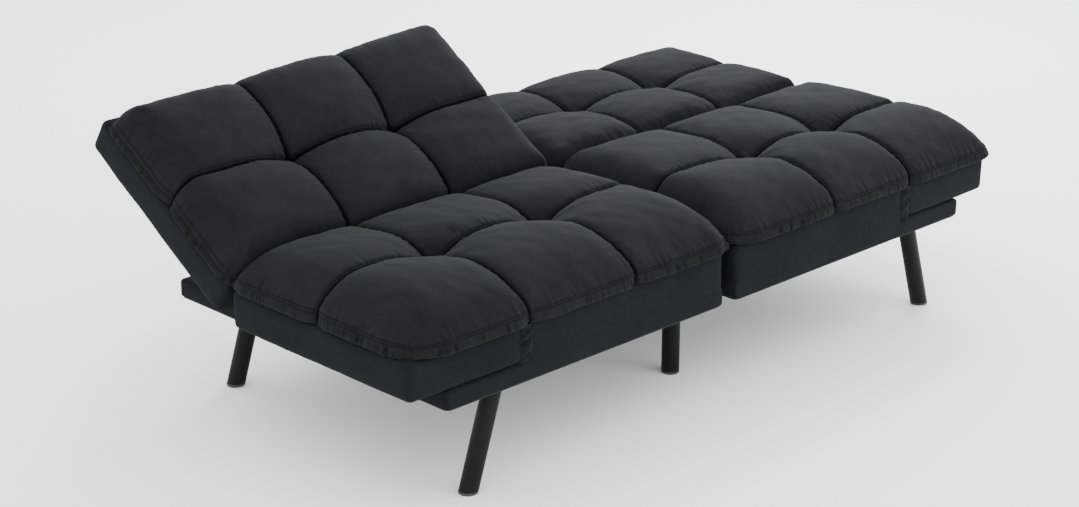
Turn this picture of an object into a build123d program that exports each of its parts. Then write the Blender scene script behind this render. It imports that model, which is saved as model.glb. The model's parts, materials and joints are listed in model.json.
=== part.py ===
"""Split futon sofa bed: two mirrored modules on six legs.

Each module has a seat box, a folding arm and a reclining back.
Millimetres, +Z up, +X along the length, -Y at the front. The origin is at the middle of the
footprint, on the floor. Everything is drawn for the right-hand module (+X) with its arm and back
flat, then mirrored for the left-hand one, whose back is raised to BACK_REST_ANGLE.
Each parts/NODE.step holds one node.
"""

import os
from math import atan2, degrees, radians, tan

from build123d import *

# --- Driving dimensions ---------------------------------------------------------------------------
BED_LENGTH = 1830
BED_DEPTH = 1070
BASE_BOTTOM = 208.5  # the legs' top faces
PLINTH_TOP = 250  # the low part of the base that the flat arm and back rest on
BLOCK_TOP = 336  # top face of the seat, arm and back blocks, under the quilted toppers
VALLEY_TOP = 392  # topper height along its seams
CROWN_TOP = 436  # topper height in the middle of its cells
MODULE_GAP = 42  # between the two seat boxes
TOPPER_GAP = 6  # between the two modules' toppers
FOLD_GAP = 12  # between a seat box and its arm or back block
BACK_REST_ANGLE = 32.5  # how far the left back is raised, in degrees
BACK_UPRIGHT_ANGLE = 77
ARM_UPRIGHT_ANGLE = 75

FRONT = -515  # front faces of the blocks
BLOCK_END = 909  # outer end of the arm and back blocks
BACK_END = 529  # rear edge of a flat back block
PLINTH_END = 814
PLINTH_REAR = 335
ARM_FOLD_X = 604  # the arm's hinge axis
BACK_FOLD_Y = 31  # the back's hinge axis
FOLD_Z = 330
CELL_SEAM_X = 304  # topper seam between the two inner columns of cells
SEAT_SEAM_Y = -240
BACK_SEAM_Y = 285

COVER = 2  # upholstery thickness
SOFT_EDGE = 12  # radius of the upholstered edges
SHEET = 1.5  # dust cover, rear panel and webbing thickness
BOARD = 18  # timber board thickness
RAIL = 25  # timber rail thickness of the base
INSET = 7  # from a block's face to its timber frame
BOARD_TOP = 300  # top of the arm and back boards, under the webbing and foam
SEAT_BOARD_TOP = 306

FOOT_X = 731
LEG_TOP_X = 663
FRONT_LEG_Y = -481
REAR_LEG_Y = 263
CENTRE_LEG_YS = (-350, 155)
LEG_RADIUS = 20
LEG_WALL = 1.5
LEG_CAP = 4
GLIDE = 6
STUD_RADIUS = 4
CLEARANCE = 0.05  # radial, round rivets, studs, bolts and screws

PLATE = 3  # thickness of a hinge plate
PLATE_GAP = 0.3  # between the fixed and the moving plate
KNUCKLE = 11
TAIL_RADIUS = 14
ELBOW = (34, -50)  # where a hinge plate's arm meets its tail, from the hinge axis
TAIL_END = (96, -50)
SCREW_XS = (50, 86)
SCREW_RADIUS = 2.2
RIVET_RADIUS = 4
PAWL_PIVOT = (-20, -22)
PAWL_NOSE = (-13.1, -4.8)
SPRING_POINTS = [(-37, -42), (-31, -17), (-20.2, -10)]  # the pawl's leaf spring, from its foot
SPRING_HALF_THICKNESS = 0.4

# --- Worked out from them -------------------------------------------------------------------------
INNER = MODULE_GAP / 2
SEAT_OUTER = ARM_FOLD_X - FOLD_GAP / 2
ARM_INNER = ARM_FOLD_X + FOLD_GAP / 2
SEAT_REAR = BACK_FOLD_Y - FOLD_GAP / 2
BACK_FRONT = BACK_FOLD_Y + FOLD_GAP / 2
BLOCK_BOTTOM = PLINTH_TOP + 1
RAIL_BOTTOM = BASE_BOTTOM + SHEET
RAIL_TOP = PLINTH_TOP - COVER - 1
TOPPER_END = BED_LENGTH / 2
TOPPER_FRONT = -BED_DEPTH / 2
TOPPER_REAR = BED_DEPTH / 2
TOPPER_INNER = TOPPER_GAP / 2

# The inside faces of the boards that the hinge plates are screwed to.
SEAT_FRONT_FACE = FRONT + INSET + BOARD
SEAT_REAR_FACE = SEAT_REAR - INSET - BOARD
SEAT_INNER_FACE = INNER + INSET + BOARD
CROSS_RAIL_FACE = 470
MOVING_STEP = PLATE + PLATE_GAP
HINGE_STACK = MOVING_STEP + PLATE
TOOTH_PITCH = (BACK_UPRIGHT_ANGLE - BACK_REST_ANGLE) / 3
NOSE_ANGLE = 180 + degrees(atan2(-PAWL_NOSE[1], -PAWL_NOSE[0]))


# --- Small helpers --------------------------------------------------------------------------------
def block(xs, ys, zs):
    """A box from its spans along X, Y and Z."""
    size = [b - a for a, b in (xs, ys, zs)]
    middle = [(a + b) / 2 for a, b in (xs, ys, zs)]
    return Pos(*middle) * Box(*size)


def grown(span, by):
    return (span[0] - by, span[1] + by)


def soft_block(xs, ys, zs, radius, round_bottom=False):
    """A box with rounded upright and top edges, and rounded bottom edges too where asked."""
    solid = block(xs, ys, zs)
    edges = solid.edges()
    if not round_bottom:
        edges = edges.filter_by_position(Axis.Z, zs[0] + 1, zs[1] + 1)
    return fillet(edges, radius)


def upright(x, y, radius, z_low, z_high):
    """A vertical cylinder."""
    return Pos(x, y, (z_low + z_high) / 2) * Cylinder(radius, z_high - z_low)


def all_of(shapes):
    """Separate solids kept as one node."""
    return Compound(children=[solid for shape in shapes for solid in shape.solids()])


def cut(shape, tools):
    for tool in tools:
        shape = shape - tool
    return shape


# --- Ratchet hinges -------------------------------------------------------------------------------
def tapered_slot(start, start_radius, end, end_radius):
    """The outline of two circles and the two straight lines that touch both."""
    circles = Pos(*start) * Circle(start_radius) + Pos(*end) * Circle(end_radius)
    return make_hull(circles.edges())


class Hinge:
    """A two-plate ratchet hinge.

    In its own plane, X points out from the seat to the moving block and Y points up.
    side is +1 or -1: which way along the plane's normal the plates stack, away from the board.
    full_angle is how far the moving plate opens, in degrees.
    """

    def __init__(self, plane, side, full_angle):
        self.plane = plane
        self.side = side
        self.full_angle = full_angle

    def slab(self, outline, low, high):
        """An outline in the hinge's plane, as thick as from low to high above the seat's board."""
        near, far = sorted((low * self.side, high * self.side))
        flat = extrude(Pos(0, 0, near) * outline, amount=far - near, dir=(0, 0, 1))
        return self.plane * flat

    def rectangle(self, xs, ys, low, high):
        middle = Pos((xs[0] + xs[1]) / 2, (ys[0] + ys[1]) / 2)
        return self.slab(middle * Rectangle(xs[1] - xs[0], ys[1] - ys[0]), low, high)

    def plate_outline(self, way):
        elbow, tail = (way * ELBOW[0], ELBOW[1]), (way * TAIL_END[0], TAIL_END[1])
        outline = tapered_slot((0, 0), KNUCKLE, elbow, TAIL_RADIUS)
        outline += tapered_slot(elbow, TAIL_RADIUS, tail, TAIL_RADIUS)
        for x in SCREW_XS:
            outline -= Pos(way * x, ELBOW[1]) * Circle(SCREW_RADIUS + CLEARANCE)
        return outline

    def fixed_plate(self):
        outline = self.plate_outline(-1) - Circle(RIVET_RADIUS)
        outline -= Pos(*PAWL_PIVOT) * Circle(RIVET_RADIUS / 2)
        return self.slab(outline, 0, PLATE)

    def moving_plate(self):
        """Its knuckle has a notch for each ratchet stop, at the pawl's nose when open to that angle."""
        outline = self.plate_outline(1) - Circle(RIVET_RADIUS + CLEARANCE)
        for step in range(6):
            stop = self.full_angle - step * TOOTH_PITCH
            outline -= Rot(0, 0, NOSE_ANGLE - stop) * Pos(KNUCKLE + 0.4, 0) * Circle(1.4)
        return self.slab(outline, MOVING_STEP, HINGE_STACK)

    def rivets(self):
        """The pivot rivet through both plates, and the pawl's smaller one."""
        neck = HINGE_STACK + 0.2
        pivot = self.slab(Circle(RIVET_RADIUS), 0, neck)
        pivot += self.slab(Circle(RIVET_RADIUS + 2.5), neck, neck + 1.8)
        small = self.slab(Pos(*PAWL_PIVOT) * Circle(RIVET_RADIUS / 2), 0, neck)
        small_head = self.slab(Pos(*PAWL_PIVOT) * Circle(RIVET_RADIUS), neck, neck + 1.3)
        return [pivot, small + small_head]

    def pawl(self):
        outline = tapered_slot(PAWL_PIVOT, 5, PAWL_NOSE, 2.5)
        outline -= Pos(*PAWL_PIVOT) * Circle(RIVET_RADIUS / 2 + CLEARANCE)
        return self.slab(outline, MOVING_STEP, HINGE_STACK)

    def pawl_spring(self):
        """A leaf welded to the fixed plate, bearing on the pawl's back."""
        foot, bend, tip = SPRING_POINTS
        outline = tapered_slot(foot, SPRING_HALF_THICKNESS, bend, SPRING_HALF_THICKNESS)
        outline += tapered_slot(bend, SPRING_HALF_THICKNESS, tip, SPRING_HALF_THICKNESS)
        return self.slab(outline, PLATE, HINGE_STACK)

    def screws(self, way):
        """Two wood screws through a plate's tail: way -1 is the fixed plate's, +1 the moving one's."""
        face = 0 if way < 0 else MOVING_STEP
        made = []
        for x in SCREW_XS:
            at = Pos(way * x, ELBOW[1])
            shank = self.slab(at * Circle(SCREW_RADIUS), face - 14, face + PLATE)
            head = self.slab(at * Circle(2 * SCREW_RADIUS), face + PLATE, face + PLATE + 2)
            made.append(shank + head)
        return made

    def pilot_holes(self, way):
        face = 0 if way < 0 else MOVING_STEP
        holes = [Pos(way * x, ELBOW[1]) * Circle(SCREW_RADIUS + CLEARANCE) for x in SCREW_XS]
        return [self.slab(hole, face - 15, face + PLATE) for hole in holes]

    def relief(self, way, reach, low, high):
        """Room for the plates: reach along their tail, and from low to high about the hinge axis."""
        return self.rectangle(sorted((0, way * reach)), (low, high), 0, HINGE_STACK + 3)

    def cover_relief(self, way):
        return self.relief(way, 18, -36, 20)

    def foam_relief(self, way):
        return self.relief(way, 52, -34, 20)

    def frame_relief(self, way):
        return self.relief(way, 114, -66, -20)


def back_hinge(board_face, side):
    plane = Plane(origin=(board_face, BACK_FOLD_Y, FOLD_Z), x_dir=(0, 1, 0), z_dir=(1, 0, 0))
    return Hinge(plane, side, BACK_UPRIGHT_ANGLE)


def arm_hinge(board_face, side):
    plane = Plane(origin=(ARM_FOLD_X, board_face, FOLD_Z), x_dir=(1, 0, 0), z_dir=(0, -1, 0))
    return Hinge(plane, side, ARM_UPRIGHT_ANGLE)


BACK_HINGES = [back_hinge(SEAT_INNER_FACE, 1), back_hinge(CROSS_RAIL_FACE, -1)]
ARM_HINGES = [arm_hinge(SEAT_FRONT_FACE, -1), arm_hinge(SEAT_REAR_FACE, 1)]


# --- Base and seat box ----------------------------------------------------------------------------
def base_frame():
    """Rails on edge round the plinth, two cross rails under the seat box, and two leg pads."""
    zs = (RAIL_BOTTOM, RAIL_TOP)
    outer = (INNER + INSET, PLINTH_END - INSET)
    inside = (outer[0] + RAIL, outer[1] - RAIL)
    front, rear = FRONT + INSET, PLINTH_REAR - INSET
    rails = [
        block(outer, (front, front + RAIL), zs),
        block(outer, (rear - RAIL, rear), zs),
        block((outer[0], inside[0]), (front + RAIL, rear - RAIL), zs),
        block((inside[1], outer[1]), (front + RAIL, rear - RAIL), zs),
        block((SEAT_OUTER - RAIL, SEAT_OUTER), (front + RAIL, rear - RAIL), zs),
        block((inside[0], SEAT_OUTER - RAIL), (SEAT_REAR - RAIL, SEAT_REAR), zs),
    ]
    pad_zs = (RAIL_BOTTOM + PLATE, RAIL_BOTTOM + PLATE + 24)
    pads = [
        block((SEAT_OUTER, LEG_TOP_X + 50), (front + RAIL, FRONT_LEG_Y + 60), pad_zs),
        block((SEAT_OUTER, LEG_TOP_X + 50), (REAR_LEG_Y - 60, rear - RAIL), pad_zs),
    ]
    holes = [upright(x, y, STUD_RADIUS + CLEARANCE, 200, 240) for x, y in corner_leg_tops()]
    holes += [upright(x, y, BOLT_RADIUS + CLEARANCE, 200, 245) for x, y in bracket_bolt_places()]
    holes += [block(*leg_plate_spans(x, y)) for x, y in corner_leg_tops()]
    return all_of([cut(piece, holes) for piece in rails + pads])


def corner_leg_tops():
    return [(LEG_TOP_X, FRONT_LEG_Y), (LEG_TOP_X, REAR_LEG_Y)]


def plinth_cover():
    """Upholstery over the L of plinth that the arm and back rest on. It is open underneath."""
    xs, ys = (INNER, PLINTH_END), (FRONT, PLINTH_REAR)
    outer = soft_block(xs, ys, (BASE_BOTTOM, PLINTH_TOP), 8)
    inner = soft_block(grown(xs, -COVER), grown(ys, -COVER), (BASE_BOTTOM - 10, PLINTH_TOP - COVER), 6)
    under_seat = block((INNER - 1, SEAT_OUTER), (FRONT - 1, SEAT_REAR), (0, BLOCK_TOP))
    return outer - inner - under_seat


def seat_cover():
    """Upholstery of the seat box. Its front and inner sides reach down over the base."""
    xs, ys = (INNER, SEAT_OUTER), (FRONT, SEAT_REAR)
    outer = soft_block(xs, ys, (BASE_BOTTOM, BLOCK_TOP), SOFT_EDGE)
    inner_zs = (BASE_BOTTOM - 20, BLOCK_TOP - COVER)
    inner = soft_block(grown(xs, -COVER), grown(ys, -COVER), inner_zs, SOFT_EDGE - COVER)
    open_side = block((INNER + COVER, SEAT_OUTER + 1), (FRONT + COVER, SEAT_REAR + 1), (0, PLINTH_TOP))
    slots = [hinge.cover_relief(-1) for hinge in BACK_HINGES + ARM_HINGES]
    return cut(outer - inner - open_side, slots)


def dust_cover():
    """Black non-woven sheet stapled under the whole base, inside the covers' lower edges."""
    xs, ys = (INNER + COVER, PLINTH_END - COVER), (FRONT + COVER, PLINTH_REAR - COVER)
    sheet = block(xs, ys, (BASE_BOTTOM, RAIL_BOTTOM))
    sheet = fillet(sheet.edges().filter_by(Axis.Z), SOFT_EDGE)
    holes = [upright(x, y, STUD_RADIUS + 1, 200, 220) for x, y in corner_leg_tops()]
    holes += [upright(x, y, BOLT_RADIUS + 1, 200, 220) for x, y in bracket_bolt_places()]
    return cut(sheet, holes)


def seat_frame():
    xs = (INNER + INSET, SEAT_OUTER - INSET)
    front, rear = FRONT + INSET, SEAT_REAR - INSET
    zs = (RAIL_TOP, SEAT_BOARD_TOP)
    between = (front + BOARD, rear - BOARD)
    boards = [
        block(xs, (front, front + BOARD), zs),
        block(xs, (rear - BOARD, rear), zs),
        block((xs[0], xs[0] + BOARD), between, zs),
        block((xs[1] - BOARD, xs[1]), between, zs),
        block((CROSS_RAIL_FACE, CROSS_RAIL_FACE + BOARD), between, zs),
    ]
    hinges = BACK_HINGES + ARM_HINGES
    tools = [hinge.frame_relief(-1) for hinge in hinges]
    tools += [hole for hinge in hinges for hole in hinge.pilot_holes(-1)]
    return all_of([cut(board, tools) for board in boards])


SPRING_XS = (110, 200, 290, 380, 530)
SPRING_WIRE = 1.8
SPRING_HALF_WIDTH = 22
SPRING_RUNS = 16


def seat_springs():
    """Zigzag wire springs from the front board to the rear one."""
    z = SEAT_BOARD_TOP - SPRING_WIRE - 0.2
    y_start, y_end = SEAT_FRONT_FACE, SEAT_REAR_FACE
    pitch = (y_end - y_start) / SPRING_RUNS
    corners = [(0, y_start)]
    for run in range(1, SPRING_RUNS):
        half_width = SPRING_HALF_WIDTH * (1 if run % 2 else -1)
        y_middle = y_start + run * pitch
        corners += [(half_width, y_middle - pitch / 2 + 1), (half_width, y_middle + pitch / 2 - 1)]
    corners.append((0, y_end))
    line = FilletPolyline(*[(x, y, z) for x, y in corners], radius=9)
    wire = sweep(Plane(origin=line @ 0, z_dir=line % 0) * Circle(SPRING_WIRE), path=line)
    wire &= block((-100, 100), (y_start, y_end), (z - 10, z + 10))
    return all_of([Pos(x, 0, 0) * wire for x in SPRING_XS])


def seat_foam():
    xs, ys = (INNER + COVER, SEAT_OUTER - COVER), (FRONT + COVER, SEAT_REAR - COVER)
    foam = soft_block(xs, ys, (SEAT_BOARD_TOP, BLOCK_TOP - COVER), SOFT_EDGE - COVER)
    return cut(foam, [hinge.foam_relief(-1) for hinge in BACK_HINGES + ARM_HINGES])


# --- Toppers --------------------------------------------------------------------------------------
def quilted(x_seams, y_seams):
    """A padded slab with one raised cell between each pair of seams."""
    rise = CROWN_TOP - VALLEY_TOP
    pad = block((x_seams[0], x_seams[-1]), (y_seams[0], y_seams[-1]), (BLOCK_TOP, VALLEY_TOP))
    for x_low, x_high in zip(x_seams, x_seams[1:]):
        for y_low, y_high in zip(y_seams, y_seams[1:]):
            middle = Pos((x_low + x_high) / 2, (y_low + y_high) / 2, VALLEY_TOP)
            pad += extrude(middle * Rectangle(x_high - x_low, y_high - y_low), amount=rise, taper=45)
    return pad


FOLD_MARGIN = 1.5  # degrees kept free between two toppers when fully folded
REACH = 150  # taller than any topper above the fold


def fold_half_angle(full_angle):
    return radians(full_angle / 2 + FOLD_MARGIN)


def arm_fold_wedge(way):
    """What a topper gives up beside the arm's fold: way is -1 on the seat and +1 on the arm."""
    spread = way * (1 + REACH * tan(fold_half_angle(ARM_UPRIGHT_ANGLE)))
    x_start = ARM_FOLD_X + way
    x_beyond = ARM_FOLD_X - 40 * way
    outline = Polyline(
        (x_start, FOLD_Z), (ARM_FOLD_X + spread, FOLD_Z + REACH),
        (x_beyond, FOLD_Z + REACH), (x_beyond, FOLD_Z), close=True,
    )
    return extrude(Plane.XZ.offset(700) * make_face(outline), amount=-1400)


def back_fold_wedge(way):
    """The same beside the back's fold: way is -1 on the seat and arm, and +1 on the back."""
    spread = way * (1 + REACH * tan(fold_half_angle(BACK_UPRIGHT_ANGLE)))
    y_start = BACK_FOLD_Y + way
    y_beyond = BACK_FOLD_Y - 40 * way
    outline = Polyline(
        (y_start, FOLD_Z), (BACK_FOLD_Y + spread, FOLD_Z + REACH),
        (y_beyond, FOLD_Z + REACH), (y_beyond, FOLD_Z), close=True,
    )
    return extrude(Plane.YZ * make_face(outline), amount=1000)


def seat_topper():
    whole = quilted((TOPPER_INNER, CELL_SEAM_X, ARM_FOLD_X), (TOPPER_FRONT, SEAT_SEAM_Y, BACK_FOLD_Y))
    knuckle_room = [hinge.cover_relief(-1) for hinge in ARM_HINGES + BACK_HINGES]
    return cut(whole, [arm_fold_wedge(-1), back_fold_wedge(-1), *knuckle_room])


def arm_topper():
    whole = quilted((ARM_FOLD_X, TOPPER_END), (TOPPER_FRONT, SEAT_SEAM_Y, BACK_FOLD_Y))
    knuckle_room = [hinge.cover_relief(1) for hinge in ARM_HINGES]
    return cut(whole, [arm_fold_wedge(1), back_fold_wedge(-1), *knuckle_room])


def back_topper():
    """Its outer cells are hollowed where the raised arm presses into them with the back upright."""
    xs = (TOPPER_INNER, CELL_SEAM_X, ARM_FOLD_X, TOPPER_END)
    whole = quilted(xs, (BACK_FOLD_Y, BACK_SEAM_Y, TOPPER_REAR))
    lean = tan(radians(90 - BACK_UPRIGHT_ANGLE))
    y_near, y_far = BACK_FOLD_Y - 10, TOPPER_REAR - 20
    floor = FOLD_Z + 2
    pressed = Polyline(
        (y_near, floor), (y_far, floor + lean * (TOPPER_REAR - BACK_FOLD_Y)),
        (y_far, CROWN_TOP + 50), (y_near, CROWN_TOP + 50), close=True,
    )
    arm_room = Pos(ARM_FOLD_X - 96, 0, 0) * extrude(Plane.YZ * make_face(pressed), amount=256)
    knuckle_room = [hinge.cover_relief(1) for hinge in BACK_HINGES]
    return cut(whole, [back_fold_wedge(1), arm_room, *knuckle_room])


# --- Arm ------------------------------------------------------------------------------------------
ARM_XS = (ARM_INNER, BLOCK_END)
ARM_YS = (FRONT, SEAT_REAR)
BLOCK_ZS = (BLOCK_BOTTOM, BLOCK_TOP)
BOARD_ZS = (BLOCK_BOTTOM + INSET, BOARD_TOP)


def arm_frame():
    """Its front and rear boards sit just behind the moving hinge plates."""
    front = SEAT_FRONT_FACE + MOVING_STEP
    rear = SEAT_REAR_FACE - MOVING_STEP
    xs = (ARM_INNER + INSET, BLOCK_END - INSET)
    boards = [
        block(xs, (front - BOARD, front), BOARD_ZS),
        block(xs, (rear, rear + BOARD), BOARD_ZS),
        block((xs[0], xs[0] + BOARD), (front, rear), BOARD_ZS),
        block((xs[1] - BOARD, xs[1]), (front, rear), BOARD_ZS),
        block((xs[0] + BOARD, xs[1] - BOARD), (-254, -254 + BOARD), BOARD_ZS),
    ]
    return all_of([cut(board, moving_hinge_room(ARM_HINGES)) for board in boards])


def moving_hinge_room(hinges):
    """Room for the moving plates' tails beside their boards, and their screws' pilot holes."""
    room = [hinge.rectangle((0, 114), (-66, -20), MOVING_STEP, HINGE_STACK + 3) for hinge in hinges]
    return room + [hole for hinge in hinges for hole in hinge.pilot_holes(1)]


def arm_foam():
    xs, ys = grown(ARM_XS, -COVER), grown(ARM_YS, -COVER)
    foam = soft_block(xs, ys, (BOARD_TOP, BLOCK_TOP - COVER), SOFT_EDGE - COVER)
    return cut(foam, [hinge.foam_relief(1) for hinge in ARM_HINGES])


def arm_cover():
    outer = soft_block(ARM_XS, ARM_YS, BLOCK_ZS, SOFT_EDGE, round_bottom=True)
    spans = [grown(span, -COVER) for span in (ARM_XS, ARM_YS, BLOCK_ZS)]
    inner = soft_block(*spans, SOFT_EDGE - COVER, round_bottom=True)
    return cut(outer - inner, [hinge.cover_relief(1) for hinge in ARM_HINGES])


# --- Back -----------------------------------------------------------------------------------------
BACK_XS = (INNER, BLOCK_END)
BACK_YS = (BACK_FRONT, BACK_END)
WEBBING_XS = (120, 210, 300, 390, 560, 650, 740, 830)
WEBBING_WIDTH = 60
PANEL_MARGIN = 26  # from the back block's edges to the rear panel


def back_frame():
    """Front, rear and outer end boards, and two boards that carry the moving hinge plates."""
    xs = (INNER + INSET, BLOCK_END - INSET)
    front, rear = BACK_FRONT + INSET, BACK_END - INSET
    between = (front + BOARD, rear - BOARD)
    inner_face = SEAT_INNER_FACE + MOVING_STEP
    cross_face = CROSS_RAIL_FACE - MOVING_STEP
    boards = [
        block(xs, (front, front + BOARD), BOARD_ZS),
        block(xs, (rear - BOARD, rear), BOARD_ZS),
        block((xs[1] - BOARD, xs[1]), between, BOARD_ZS),
        block((inner_face - BOARD, inner_face), between, BOARD_ZS),
        block((cross_face, cross_face + BOARD), between, BOARD_ZS),
    ]
    return all_of([cut(board, moving_hinge_room(BACK_HINGES)) for board in boards])


def back_webbing():
    """Elastic straps stapled across the top of the back's boards."""
    ys = (BACK_FRONT + INSET, BACK_END - INSET)
    half = WEBBING_WIDTH / 2
    zs = (BOARD_TOP, BOARD_TOP + SHEET)
    return all_of([block((x - half, x + half), ys, zs) for x in WEBBING_XS])


def back_foam():
    xs, ys = grown(BACK_XS, -COVER), grown(BACK_YS, -COVER)
    foam = soft_block(xs, ys, (BOARD_TOP + SHEET, BLOCK_TOP - COVER), SOFT_EDGE - COVER)
    return cut(foam, [hinge.foam_relief(1) for hinge in BACK_HINGES])


def panel_window(play, depth):
    margin = PANEL_MARGIN + play
    return block(grown(BACK_XS, -margin), grown(BACK_YS, -margin), (BLOCK_BOTTOM, BLOCK_BOTTOM + depth))


def back_cover():
    outer = soft_block(BACK_XS, BACK_YS, BLOCK_ZS, SOFT_EDGE, round_bottom=True)
    spans = [grown(span, -COVER) for span in (BACK_XS, BACK_YS, BLOCK_ZS)]
    inner = soft_block(*spans, SOFT_EDGE - COVER, round_bottom=True)
    shell = outer - inner - panel_window(0, COVER)
    return cut(shell, [hinge.cover_relief(1) for hinge in BACK_HINGES])


def back_rear_panel():
    """The separate panel of cloth stapled into the back cover's rear face."""
    return panel_window(0.2, SHEET)


# --- Legs -----------------------------------------------------------------------------------------
BOLT_RADIUS = 3
BRACKET_HALF_LENGTH = 60
BRACKET_HALF_WIDTH = 35
BRACKET_THICKNESS = 4
BRACKET_BOLT_X = INNER + INSET + RAIL / 2
BRACKET_BOLT_Y = 20


def bracket_bolt_places():
    return [(BRACKET_BOLT_X, y + dy) for y in CENTRE_LEG_YS for dy in (-BRACKET_BOLT_Y, BRACKET_BOLT_Y)]


def level_slice(shape, low, high):
    return shape & block((-1000, 1000), (-600, 600), (low, high))


def leg_and_glide(foot_x, top_x, y, top_z):
    """A round steel leg with a welded cap, cut level at both ends, and the plastic glide under it."""
    axis = Plane(origin=(foot_x, y, 0), z_dir=(top_x - foot_x, 0, top_z))
    solid_leg = axis * Cylinder(LEG_RADIUS, 3 * top_z)
    bore = axis * Cylinder(LEG_RADIUS - LEG_WALL, 3 * top_z)
    tube = level_slice(solid_leg - bore, GLIDE, top_z - LEG_CAP)
    cap = level_slice(solid_leg, top_z - LEG_CAP, top_z)
    cap -= upright(top_x, y, STUD_RADIUS + CLEARANCE, 150, 250)
    glide = level_slice(solid_leg, 0, GLIDE)
    glide = fillet(glide.edges().filter_by_position(Axis.Z, -0.1, 0.1), 2)
    return tube + cap, glide


def stud(x, y, cap_top):
    return upright(x, y, STUD_RADIUS, cap_top - LEG_CAP - 4, cap_top + 22)


def leg_plate_spans(x, y):
    return (x - 30, x + 30), (y - 20, y + 20), (RAIL_BOTTOM, RAIL_BOTTOM + PLATE)


def leg_plate(x, y):
    """The threaded plate over the dust cover that a corner leg's stud screws into."""
    return block(*leg_plate_spans(x, y)) - upright(x, y, STUD_RADIUS + CLEARANCE, 200, 220)


def centre_bracket(y):
    """A steel plate that ties the two modules' inner rails together over a centre leg."""
    half, wide = BRACKET_HALF_LENGTH, BRACKET_HALF_WIDTH
    plate = block((-half, half), (y - wide, y + wide), (BASE_BOTTOM - BRACKET_THICKNESS, BASE_BOTTOM))
    plate = fillet(plate.edges().filter_by(Axis.Z), 6)
    bolt_ys = (y - BRACKET_BOLT_Y, y + BRACKET_BOLT_Y)
    places = [(side * BRACKET_BOLT_X, bolt_y) for side in (-1, 1) for bolt_y in bolt_ys]
    holes = [upright(x, bolt_y, BOLT_RADIUS + CLEARANCE, 190, 230) for x, bolt_y in places]
    return cut(plate, [*holes, upright(0, y, STUD_RADIUS + CLEARANCE, 190, 230)])


def bracket_bolt(x, y):
    under = BASE_BOTTOM - BRACKET_THICKNESS
    head = Pos(x, y, under - 2) * extrude(RegularPolygon(5, 6), amount=2)
    return head + upright(x, y, BOLT_RADIUS, under, under + 34)


# --- Assembly -------------------------------------------------------------------------------------
def flipped(shape):
    """The left-hand module's version of a right-hand piece."""
    return all_of([mirror(shape, about=Plane.YZ)])


def raised(shape, angle):
    """A back piece turned up about the back's hinge axis."""
    return shape.rotate(Axis((0, BACK_FOLD_Y, FOLD_Z), (1, 0, 0)), angle)


def moving_plates(hinges):
    return all_of([hinge.moving_plate() for hinge in hinges])


def moving_screws(hinges):
    return all_of([screw for hinge in hinges for screw in hinge.screws(1)])


FIXED_NODES = {
    "base_frame": base_frame,
    "plinth_cover": plinth_cover,
    "dust_cover": dust_cover,
    "seat_frame": seat_frame,
    "seat_springs": seat_springs,
    "seat_foam": seat_foam,
    "seat_cover": seat_cover,
    "seat_topper": seat_topper,
}
ARM_NODES = {
    "arm_frame": arm_frame,
    "arm_foam": arm_foam,
    "arm_cover": arm_cover,
    "arm_topper": arm_topper,
    "arm_hinge_plates": lambda: moving_plates(ARM_HINGES),
    "arm_hinge_screws": lambda: moving_screws(ARM_HINGES),
}
BACK_NODES = {
    "back_frame": back_frame,
    "back_webbing": back_webbing,
    "back_foam": back_foam,
    "back_cover": back_cover,
    "back_rear_panel": back_rear_panel,
    "back_topper": back_topper,
    "back_hinge_plates": lambda: moving_plates(BACK_HINGES),
    "back_hinge_screws": lambda: moving_screws(BACK_HINGES),
}


def build():
    """Every node by name."""
    nodes = {}
    for name, make in {**FIXED_NODES, **ARM_NODES, **BACK_NODES}.items():
        shape = all_of([make()])
        nodes["right_" + name] = shape
        left = flipped(shape)
        nodes["left_" + name] = raised(left, BACK_REST_ANGLE) if name in BACK_NODES else left

    def both_sides(pieces):
        group = all_of(pieces)
        return all_of([group, flipped(group)])

    hinges = BACK_HINGES + ARM_HINGES
    nodes["hinge_base_plates"] = both_sides([hinge.fixed_plate() for hinge in hinges])
    nodes["hinge_rivets"] = both_sides([rivet for hinge in hinges for rivet in hinge.rivets()])
    nodes["hinge_base_screws"] = both_sides([screw for hinge in hinges for screw in hinge.screws(-1)])
    nodes["hinge_pawls"] = both_sides([hinge.pawl() for hinge in hinges])
    nodes["hinge_pawl_springs"] = both_sides([hinge.pawl_spring() for hinge in hinges])

    front_leg, front_glide = leg_and_glide(FOOT_X, LEG_TOP_X, FRONT_LEG_Y, BASE_BOTTOM)
    rear_leg, rear_glide = leg_and_glide(FOOT_X, LEG_TOP_X, REAR_LEG_Y, BASE_BOTTOM)
    centre_top = BASE_BOTTOM - BRACKET_THICKNESS
    centre = [leg_and_glide(0, 0, y, centre_top) for y in CENTRE_LEG_YS]
    nodes["right_front_leg"] = front_leg
    nodes["right_rear_leg"] = rear_leg
    nodes["left_front_leg"] = flipped(front_leg)
    nodes["left_rear_leg"] = flipped(rear_leg)
    nodes["centre_front_leg"], nodes["centre_rear_leg"] = [leg for leg, glide in centre]
    centre_glides = [glide for leg, glide in centre]
    nodes["leg_glides"] = all_of([both_sides([front_glide, rear_glide]), *centre_glides])
    corner_studs = [stud(x, y, BASE_BOTTOM) for x, y in corner_leg_tops()]
    centre_studs = [stud(0, y, centre_top) for y in CENTRE_LEG_YS]
    nodes["leg_studs"] = all_of([both_sides(corner_studs), *centre_studs])
    nodes["leg_plates"] = both_sides([leg_plate(x, y) for x, y in corner_leg_tops()])
    nodes["centre_brackets"] = all_of([centre_bracket(y) for y in CENTRE_LEG_YS])
    nodes["bracket_bolts"] = both_sides([bracket_bolt(x, y) for x, y in bracket_bolt_places()])
    return nodes


def main():
    os.makedirs("parts", exist_ok=True)
    for name, shape in build().items():
        export_step(shape, f"parts/{name}.step")


main()
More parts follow.
